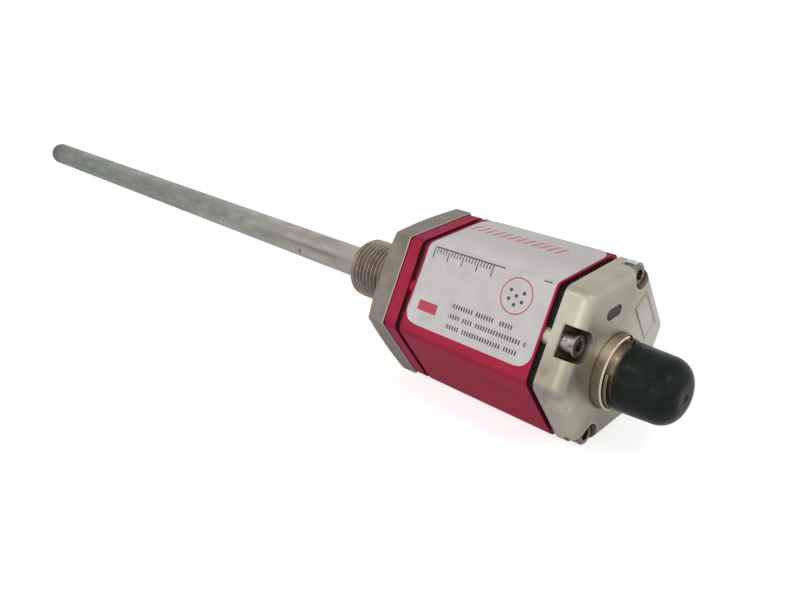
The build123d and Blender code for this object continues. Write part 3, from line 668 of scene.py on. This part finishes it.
# %% Closed threaded tube
def close_tube(bm, start, end, bore, steps=64):
    """Adds a bore to an open skin along X and caps both ends round it."""
    open_edges = [e for e in bm.edges if e.is_boundary]
    rims = [[e for e in open_edges if abs(e.verts[0].co.x - x) < same_place] for x in (start, end)]
    circles = []
    for x, rim in zip((start, end), rims):
        angles = [2 * pi * step / steps for step in range(steps)]
        circle = [bm.verts.new((x, bore * cos(angle), bore * sin(angle))) for angle in angles]
        inner = [bm.edges.new((circle[step], circle[(step + 1) % steps])) for step in range(steps)]
        bmesh.ops.triangle_fill(bm, use_beauty=True, edges=rim + inner)
        circles.append(circle)
    front, back = circles
    for step in range(steps):
        after = (step + 1) % steps
        bm.faces.new((front[step], front[after], back[after], back[step]))


def threaded_tube(start, end, crest, depth, pitch, bore, chamfer, lead, axis=(0.0, 0.0)):
    """A closed threaded tube as a mesh: lead is the end with the chamfer, axis its Y and Z."""
    bm = bmesh.new()
    thread_skin(bm, start, end, crest, depth, pitch)
    for v in bm.verts:
        limit = crest - chamfer + abs(v.co.x - lead)
        radius = sqrt(v.co.y ** 2 + v.co.z ** 2)
        if radius > limit:
            v.co.y, v.co.z = v.co.y * limit / radius, v.co.z * limit / radius
    close_tube(bm, start, end, bore)
    bmesh.ops.recalc_face_normals(bm, faces=bm.faces)
    bmesh.ops.translate(bm, verts=bm.verts, vec=(0, *axis))
    mesh = bpy.data.meshes.new("threaded_tube")
    bm.to_mesh(mesh)
    bm.free()
    return mesh


print("thread helpers ready")

# %% [markdown]
# ## A piece made of several meshes
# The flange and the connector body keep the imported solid's own surface except for the thread. Their
# solid is copied, cut square where the thread begins, capped there, and the threaded tube goes in front
# of the cut. The copy first has its doubled corner points merged, because an imported surface is split
# along every edge.

# %% Helpers for whole pieces
def solid_without_thread(node, x, side):
    """A copy of a solid's surface, without what lies past x on that side, capped there."""
    bm = bmesh.new()
    bm.from_mesh(nodes[node].data)
    bmesh.ops.remove_doubles(bm, verts=bm.verts, dist=same_place)
    everything = bm.verts[:] + bm.edges[:] + bm.faces[:]
    bmesh.ops.bisect_plane(
        bm, geom=everything, dist=cut_gap, plane_co=(x, 0, 0), plane_no=(side, 0, 0), clear_outer=True)
    opening = [e for e in bm.edges if e.is_boundary]
    bmesh.ops.triangle_fill(bm, use_beauty=True, edges=opening)
    bmesh.ops.recalc_face_normals(bm, faces=bm.faces)
    mesh = bpy.data.meshes.new(node)
    bm.to_mesh(mesh)
    bm.free()
    return mesh


def turned_ring(outline, steps=96):
    """A ring turned round the X axis from its closed outline of X and radius."""
    bm = bmesh.new()
    loops = []
    for step in range(steps):
        y, z = cos(2 * pi * step / steps), sin(2 * pi * step / steps)
        loops.append([bm.verts.new((x, radius * y, radius * z)) for x, radius in outline])
    count = len(outline)
    for step in range(steps):
        here, beside = loops[step], loops[(step + 1) % steps]
        for point in range(count):
            after = (point + 1) % count
            bm.faces.new((here[point], here[after], beside[after], beside[point]))
    bmesh.ops.recalc_face_normals(bm, faces=bm.faces)
    mesh = bpy.data.meshes.new("turned_ring")
    bm.to_mesh(mesh)
    bm.free()
    return mesh


def piece(name, parts, crease=35.0):
    """One object from meshes and their materials, smooth except along creases of that many degrees."""
    bm = bmesh.new()
    for index, (part, _) in enumerate(parts):
        first = len(bm.faces)
        bm.from_mesh(part)
        bm.faces.ensure_lookup_table()
        for face in bm.faces[first:]:
            face.material_index = index
            face.smooth = True
    mesh = bpy.data.meshes.new(name)
    bm.to_mesh(mesh)
    bm.free()
    own_normals = mesh.attributes.get("custom_normal")
    if own_normals:
        mesh.attributes.remove(own_normals)
    mesh.set_sharp_from_angle(angle=radians(crease))
    for _, material in parts:
        mesh.materials.append(material)
    made = bpy.data.objects.new(name, mesh)
    bpy.context.scene.collection.objects.link(made)
    print(name, "has", len(mesh.polygons), "faces")
    return made


# %% [markdown]
# ## The flange with its mounting thread
# It is one turned piece: hexagon, fine thread and a short land in front, on which the rod is welded.
# The weld left a thin rounded bead and a brown heat tint, which the greasy finish of the thread already
# has.

# %% Flange
face_gap = 0.001 * MM           # keeps a cut off the faces that it would run along
thread_length = 25.4 * MM
thread_front = -thread_length
front_chamfer = 0.6 * MM
weld_land_radius = 6.3 * MM
rod_seat = 4.72 * MM
bead = 0.45 * MM

land_front = flange_low.x
bead_middle = weld_land_radius - bead
land_outline = [(thread_front, rod_seat), (land_front, rod_seat), (land_front, bead_middle)]
for degrees in (30, 60, 90):
    turn = radians(degrees)
    land_outline.append((land_front + bead * (1 - cos(turn)), bead_middle + bead * sin(turn)))
land_outline.append((thread_front, weld_land_radius))

flange = piece("mounting_flange", [
    (solid_without_thread("threaded_flange", -face_gap, -1), flange_steel),
    (threaded_tube(thread_front, 0.0, thread_crest * MM, thread_depth * MM, thread_pitch * MM,
                   rod_seat, front_chamfer, thread_front), thread_steel),
    (turned_ring(land_outline), thread_steel),
])
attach(flange, "sensor")
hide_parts("threaded_flange")

# %% [markdown]
# ## The connector body with its thread
# Under the dust cap the connector has a finer thread for the plug's nut. It shows once the cap is
# pulled off.

# %% Connector body
connector_crest = 8.0 * MM
connector_pitch = 0.75 * MM
connector_depth = 0.46 * MM
connector_bore = 6.9 * MM
connector_chamfer = 0.5 * MM
neck_share = 3 / 8              # of the ring's thickness, left free on each side of it
neck_end = ring_high.x + (ring_high.x - ring_low.x) * neck_share

connector = piece("connector_body", [
    (solid_without_thread("connector_shell", neck_end - face_gap, 1), connector_nickel),
    (threaded_tube(neck_end, shell_high.x, connector_crest, connector_depth, connector_pitch,
                   connector_bore, connector_chamfer, shell_high.x, connector_axis), connector_nickel),
])
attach(connector, "sensor")
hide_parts("connector_shell")
print("neck ends at x = %.2f mm" % (neck_end / MM))

# %% [markdown]
# ## The foil label
# The label is a printed polyester foil that is folded over one corner of the housing. It is a sheet
# with a thickness, so it gets an upper skin, a lower skin and a rim. Its points are laid out flat, as X
# and the way along the fold, and then wrapped: flat on the side face, round on the corner, flat on the
# top face. Near its lower front corner the glue has let go, and the foil stands up in small ripples.

# %% Label measures
side_angle = radians(150.0)
corner_radius = 2.5 * MM        # of the housing
cut_radius = 4.0 * MM           # of the label's own corners
columns = 120
crowding = 1.6                  # columns stand closer together at the ripples
row_count = 150
skin_heights = (0.1, 1.0)       # shares of the thickness: the underside is just off the metal
half_side = housing_half / sqrt(3)
fold_start = half_side - corner_radius / sqrt(3)
fold_length = corner_radius * pi / 3
label_bottom = (housing_half * sin(side_angle) - label_low.z) / cos(side_angle)
label_top = fold_start * 2 + fold_length + label_high.y
lift_height = 0.9 * MM
lift_reach = 5.5 * MM
lift_climb = 14.0 * MM
ripple_height = 0.34 * MM
ripple_length = 1.9 * MM
ripple_slant = 0.12
print("label %.1f mm long, %.1f mm round the fold" % (
    (label_high.x - label_low.x) / MM, (label_top - label_bottom) / MM))


# %% Wrapping the foil
def wrapped(x, way, height):
    """The point of the housing's skin at X and a way along the fold, that high above the metal."""
    if way < fold_start:
        stand = housing_half + height
        y = stand * cos(side_angle) + way * sin(side_angle)
        z = stand * sin(side_angle) - way * cos(side_angle)
        return Vector((x, y, z))
    if way < fold_start + fold_length:
        angle = side_angle - (way - fold_start) / corner_radius
        radius = corner_radius + height
        y = -fold_start + radius * cos(angle)
        z = housing_half - corner_radius + radius * sin(angle)
        return Vector((x, y, z))
    return Vector((x, way - 2 * fold_start - fold_length, housing_half + height))


def lift(x, way):
    """How far the loose corner stands off the metal, with ripples along the front edge."""
    away = x - label_low.x
    share = max(0.0, 1 - away / lift_reach) * max(0.0, 1 - (way - label_bottom) / lift_climb)
    ripple = (1 + sin(2 * pi * (away + ripple_slant * way) / ripple_length)) / 2
    return lift_height * share ** 2 + ripple_height * share ** 0.7 * ripple


print("the fold takes up %.1f mm of the foil" % (fold_length / MM))


# %% Label shape
def label_skin(bm, flat_place, height_share):
    """Rows of points for one side of the foil, with each point's flat place kept for the printing."""
    skin = []
    for row in range(row_count + 1):
        way = label_bottom + (label_top - label_bottom) * row / row_count
        from_end = min(way - label_bottom, label_top - way, cut_radius)
        inset = cut_radius - sqrt(cut_radius ** 2 - (cut_radius - from_end) ** 2)
        low, high = label_low.x + inset, label_high.x - inset
        line = []
        for column in range(columns + 1):
            x = low + (high - low) * (column / columns) ** crowding
            v = bm.verts.new(wrapped(x, way, label_thickness * height_share + lift(x, way)))
            v[flat_place] = Vector((x / MM, way / MM, 0))
            line.append(v)
        skin.append(line)
    for row in range(row_count):
        for column in range(columns):
            bm.faces.new((skin[row][column], skin[row][column + 1],
                          skin[row + 1][column + 1], skin[row + 1][column]))
    return skin


def border(skin):
    """The points round the edge of a skin, in order."""
    right_side = [line[-1] for line in skin[1:]]
    left_side = [line[0] for line in skin[1:-1]]
    return skin[0] + right_side + skin[-1][-2::-1] + left_side[::-1]


def folded_label():
    """The label's mesh: two skins and the rim between them."""
    bm = bmesh.new()
    flat_place = bm.verts.layers.float_vector.new("flat_place")
    under, over = [border(label_skin(bm, flat_place, share)) for share in skin_heights]
    for here in range(len(under)):
        after = (here + 1) % len(under)
        bm.faces.new((under[here], under[after], over[after], over[here]))
    bmesh.ops.recalc_face_normals(bm, faces=bm.faces)
    mesh = bpy.data.meshes.new("foil_label")
    bm.to_mesh(mesh)
    bm.free()
    return mesh


label_mesh = folded_label()
outwards = Vector((0, cos(side_angle), sin(side_angle)))
highest = max(outwards.dot(v.co) for v in label_mesh.vertices) - housing_half
print("the loose corner stands up to %.2f mm off the side face" % (highest / MM))

# %% [markdown]
# ## Printing on the label
# The print is drawn by the shader from each point's flat place, so it bends with the foil. It is a
# plain scale with graduation marks, a pin diagram in a red circle, a red stripe of slanted bars, a
# plain red bar and rows of small dark blocks. Every mark is a box, a ring or a dot with a slightly
# soft edge, as screen printing leaves it. The face that looks up is greyed as painted shade.

# %% Layout of the print
ink_edge = 0.05                 # mm, softness of a printed edge

# places are in mm: along X, and round the fold from the middle of the side face
scale_line = 12.3
scale_start, scale_end = 16.3, 36.3
scale_margin = 0.2              # so that the outer marks aren't cut in half
graduations = ((1.0, 1.6), (5.0, 3.2))          # pitch and length
mark_edge = (0.22, 0.13)        # from a mark's middle: no ink, full ink
scale_strokes = ((16.3, 39.8), (51.6, 54.0))    # start and end
stroke_half = 0.18
diagram = (45.6, 6.6)
diagram_radius = 4.6
diagram_line = 0.16
pin_ring = 2.3
pin_dot = 0.5
plain_bar = (16.9, 23.4, -5.4, -2.6)
stripe = (15.0, 46.0, 27.6, 31.6)
stripe_pitch = 2.6
stripe_slant = 0.35
bar_edge = (0.48, 0.45)         # shares of the pitch: no ink, full ink
block_rows = ((27.7, 47.8, -1.2), (27.7, 53.0, -4.0), (27.7, 51.0, -6.8))
block_pitch = 0.85
block_edge = (0.3, 0.24)        # shares of the pitch from a block's middle: no ink, full ink
block_half_height = 0.6
blank_share = 0.14              # of the blocks in a row are left out
# where round the fold the painted shade of the top face sets in
top_face_shade_span = (14.0, 24.0)
print(len(block_rows), "rows of blocks and", len(graduations), "graduations")


# %% Single marks
def inside(material, value, middle, half):
    """1 where the value is within half of the middle, with a soft edge."""
    away = add_node(material, "Math", value, middle, operation="SUBTRACT")
    away = add_node(material, "Math", away, operation="ABSOLUTE")
    return add_node(material, "MapRange", away, half + ink_edge, half - ink_edge)


def box_mark(material, x, way, left, right, bottom, top):
    """1 inside a box on the flat label."""
    across = inside(material, x, (left + right) / 2, (right - left) / 2)
    return overlap(material, across, inside(material, way, (bottom + top) / 2, (top - bottom) / 2))


def any_mark(material, marks):
    """1 where any of the marks is."""
    joined = marks[0]
    for mark in marks[1:]:
        joined = add_node(material, "Math", joined, mark, operation="MAXIMUM")
    return joined


def graduation(material, x, way, pitch, length):
    """Marks at a pitch that hang from the scale's line."""
    from_start = add_node(material, "Math", x, scale_start, operation="SUBTRACT")
    count = add_node(material, "Math", from_start, pitch, operation="DIVIDE")
    from_mark = add_node(material, "Math", count, 0.5, operation="PINGPONG")
    thin = add_node(material, "MapRange", from_mark, mark_edge[0] / pitch, mark_edge[1] / pitch)
    left, right = scale_start - scale_margin, scale_end + scale_margin
    field = box_mark(material, x, way, left, right, scale_line - length, scale_line)
    return overlap(material, thin, field)


def block_row(material, x, way, left, right, height):
    """A row of small blocks, with a blank here and there."""
    count = add_node(material, "Math", x, block_pitch, operation="DIVIDE")
    number = add_node(material, "Math", count, operation="FLOOR")
    seed = add_node(material, "Math", number, height, operation="ADD")
    chance = add_node(material, "TexWhiteNoise", W=seed, noise_dimensions="1D")
    share = add_node(material, "Math", count, operation="FRACT")
    off_middle = add_node(material, "Math", share, 0.5, operation="SUBTRACT")
    off_middle = add_node(material, "Math", off_middle, operation="ABSOLUTE")
    blocks = add_node(material, "MapRange", off_middle, *block_edge)
    printed = add_node(material, "Math", chance, blank_share, operation="GREATER_THAN")
    bottom, top = height - block_half_height, height + block_half_height
    field = box_mark(material, x, way, left, right, bottom, top)
    return overlap(material, blocks, printed, field)


print("marks ready")


# %% Dark and red print
def dark_print(material, x, way, flat):
    """All dark marks: the scale, the diagram's pins and the rows of blocks."""
    marks = []
    for start, end in scale_strokes:
        marks.append(box_mark(
            material, x, way, start, end, scale_line - stroke_half, scale_line + stroke_half))
    for pitch, length in graduations:
        marks.append(graduation(material, x, way, pitch, length))
    for left, right, height in block_rows:
        marks.append(block_row(material, x, way, left, right, height))
    for turn in range(6):
        radius = pin_ring if turn else 0.0
        angle = radians(60 * turn)
        dot = (diagram[0] + radius * sin(angle), diagram[1] + radius * cos(angle), 0.0)
        away = add_node(material, "VectorMath", flat, dot, operation="DISTANCE", out="Value")
        marks.append(add_node(material, "MapRange", away, pin_dot + ink_edge, pin_dot - ink_edge))
    return any_mark(material, marks)


def red_print(material, x, way, flat):
    """All red marks: the diagram's circle, the slanted stripe and a plain bar."""
    away = add_node(material, "VectorMath", flat, (*diagram, 0.0), operation="DISTANCE", out="Value")
    slant = add_node(material, "Math", way, stripe_slant, operation="MULTIPLY")
    slanted = add_node(material, "Math", x, slant, operation="SUBTRACT")
    count = add_node(material, "Math", slanted, stripe_pitch, operation="DIVIDE")
    share = add_node(material, "Math", count, operation="FRACT")
    bars = add_node(material, "MapRange", share, *bar_edge)
    return any_mark(material, [
        inside(material, away, diagram_radius, diagram_line),
        overlap(material, bars, box_mark(material, x, way, *stripe)),
        box_mark(material, x, way, *plain_bar),
    ])


print("pin diagram at x = %.1f mm" % diagram[0])


# %% Printed foil
def printed_foil():
    """Pale grey polyester foil under a satin laminate, with its printing, a few grey rubs and painted
    shade on top.
    """
    material, shader = new_material(
        "polyester_foil_printed", Roughness=0.36, Coat_Weight=0.8, Coat_Roughness=0.12)
    flat = add_node(material, "Attribute", attribute_name="flat_place", out="Vector")
    x = add_node(material, "SeparateXYZ", flat, out="X")
    way = add_node(material, "SeparateXYZ", flat, out="Y")
    patches = clouds(material, flat, 6.0)
    rubs = clouds(material, flat, 1.2, 0.66, 0.76)
    inked = layered_tint(
        material, "#D1CBCB",
        (patches, 1.0, "#DCD6D6"),
        # painted shade on the face that looks up
        (add_node(material, "MapRange", way, *top_face_shade_span), 0.7, "#AFAAA8"),
        (rubs, 0.3, "#A9A6A4"),
        (red_print(material, x, way, flat), 1.0, "#BE2A45"),
        (dark_print(material, x, way, flat), 1.0, "#26262A"),
    )
    wire(material, inked, shader, "Base Color")
    relief(material, shader, clouds(material, flat, 0.5), 0.004)
    return material


label = piece("foil_label", [(label_mesh, printed_foil())])
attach(label, "sensor")
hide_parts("label")

# %% [markdown]
# ## Floor and background
# A product picture stands on a seamless white sweep. The floor is a plain pale sheet that gets its
# shadow from the lamps. To the camera and in mirror reflections it also glows a little, so that it
# meets the white background without a line, and the shadow still shows on it.

# %% Floor
def seen_directly(material):
    """1 for camera, mirror and glass rays, 0 for the rays that carry light between surfaces."""
    direct = add_node(material, "LightPath", out="Is Camera Ray")
    for kind in ("Is Glossy Ray", "Is Transmission Ray"):
        ray = add_node(material, "LightPath", out=kind)
        direct = add_node(material, "Math", direct, ray, operation="MAXIMUM")
    return direct


floor_glow = 0.72
mirrored_glow = 0.38
floor_size = 16.0               # metres


def white_sweep():
    """Pale matt paper that glows a little where it is seen directly, and less in a mirror."""
    material, shader = new_material("paper_sweep_pale", Roughness=0.9)
    shader.inputs["Base Color"].default_value = linear("#C8C8C8")
    shader.inputs["Emission Color"].default_value = (1, 1, 1, 1)
    in_mirror = add_node(material, "LightPath", out="Is Glossy Ray")
    glow = overlap(material, seen_directly(material), floor_glow)
    dimmed = overlap(material, in_mirror, floor_glow - mirrored_glow)
    strength = add_node(material, "Math", glow, dimmed, operation="SUBTRACT")
    wire(material, strength, shader, "Emission Strength")
    return material


floor_mesh = bpy.data.meshes.new("floor")
sides = ((-0.5, -0.5), (0.5, -0.5), (0.5, 0.5), (-0.5, 0.5))
corners = [(x * floor_size, y * floor_size, flange_low.z) for x, y in sides]
floor_mesh.from_pydata(corners, [], [(0, 1, 2, 3)])
floor_mesh.materials.append(white_sweep())
floor = bpy.data.objects.new("floor", floor_mesh)
bpy.context.scene.collection.objects.link(floor)
print("floor at z = %.2f mm" % (flange_low.z / MM))

# %% [markdown]
# ## Light
# The world is an even white dome, dimmer for the light it sheds than for what is seen of it, and its
# top is darker, as a studio's ceiling is, which gives the metal faces that look up some depth. A large
# soft lamp in front of the labelled side acts as a window, with one small bright pane that glints in
# the foil's ripples. Two more small ones hang under the ceiling, one towards the connector and one
# towards the rod, and give the dust cap its two soft highlights and the casting's edges their shine.
# Each lamp's power is worked out from its share of full white. Dome and lamps together add up to a
# little less than 1, so that a pale surface renders about as its colour is written.

# %% World and lamps
world = bpy.data.worlds.new("white_dome")
bpy.context.scene.world = world
world.use_nodes = True
dome = world.node_tree.nodes["Background"]
dome.inputs["Color"].default_value = (1, 1, 1, 1)
dome_light = 0.47
ceiling = 0.75                  # strength that is seen overhead
ceiling_edge = (0.25, 0.8)      # heights on a dome that is 1 high
outwards = add_node(world, "TexCoord", out="Generated")
height = add_node(world, "SeparateXYZ", outwards, out="Z")
direct = seen_directly(world)
seen = overlap(world, direct, add_node(world, "MapRange", height, *ceiling_edge, 1.0, ceiling))
shed = overlap(world, add_node(world, "Math", 1.0, direct, operation="SUBTRACT"), dome_light)
strength = add_node(world, "Math", seen, shed, operation="ADD")
world.node_tree.links.new(strength, dome.inputs["Strength"])


lamp_target = Vector((35, 0, 0)) * MM       # inside the housing


def soft_lamp(name, direction, distance, size, share):
    """A square lamp that looks at the housing and lights what faces it with that share of full white."""
    data = bpy.data.lights.new(name, "AREA")
    data.shape = "SQUARE"
    data.size = size
    offset = Vector(direction).normalized() * distance
    data.energy = share * pi * pi * distance ** 2
    lamp = bpy.data.objects.new(name, data)
    turned = offset.to_track_quat("Z", "Y").to_matrix().to_4x4()
    lamp.matrix_world = Matrix.Translation(lamp_target + offset) @ turned
    bpy.context.scene.collection.objects.link(lamp)
    print(name, "%.1f W" % data.energy)


# direction, distance and size in metres, share
soft_lamp("window_lamp", (0.2, -0.93, 0.3), 1.2, 1.2, 0.26)
soft_lamp("window_pane", (0.0, -0.9, 0.43), 1.0, 0.15, 0.045)
soft_lamp("ceiling_lamp_by_the_connector", (0.6, -0.12, 0.8), 1.0, 0.16, 0.09)
soft_lamp("ceiling_lamp_by_the_rod", (-0.4, -0.51, 0.76), 1.0, 0.14, 0.065)

bpy.context.scene.view_settings.view_transform = "Standard"

# %% [markdown]
# ## Finish
# Finishes, light and camera are all in place.

# %% Finish
print("scene set up")
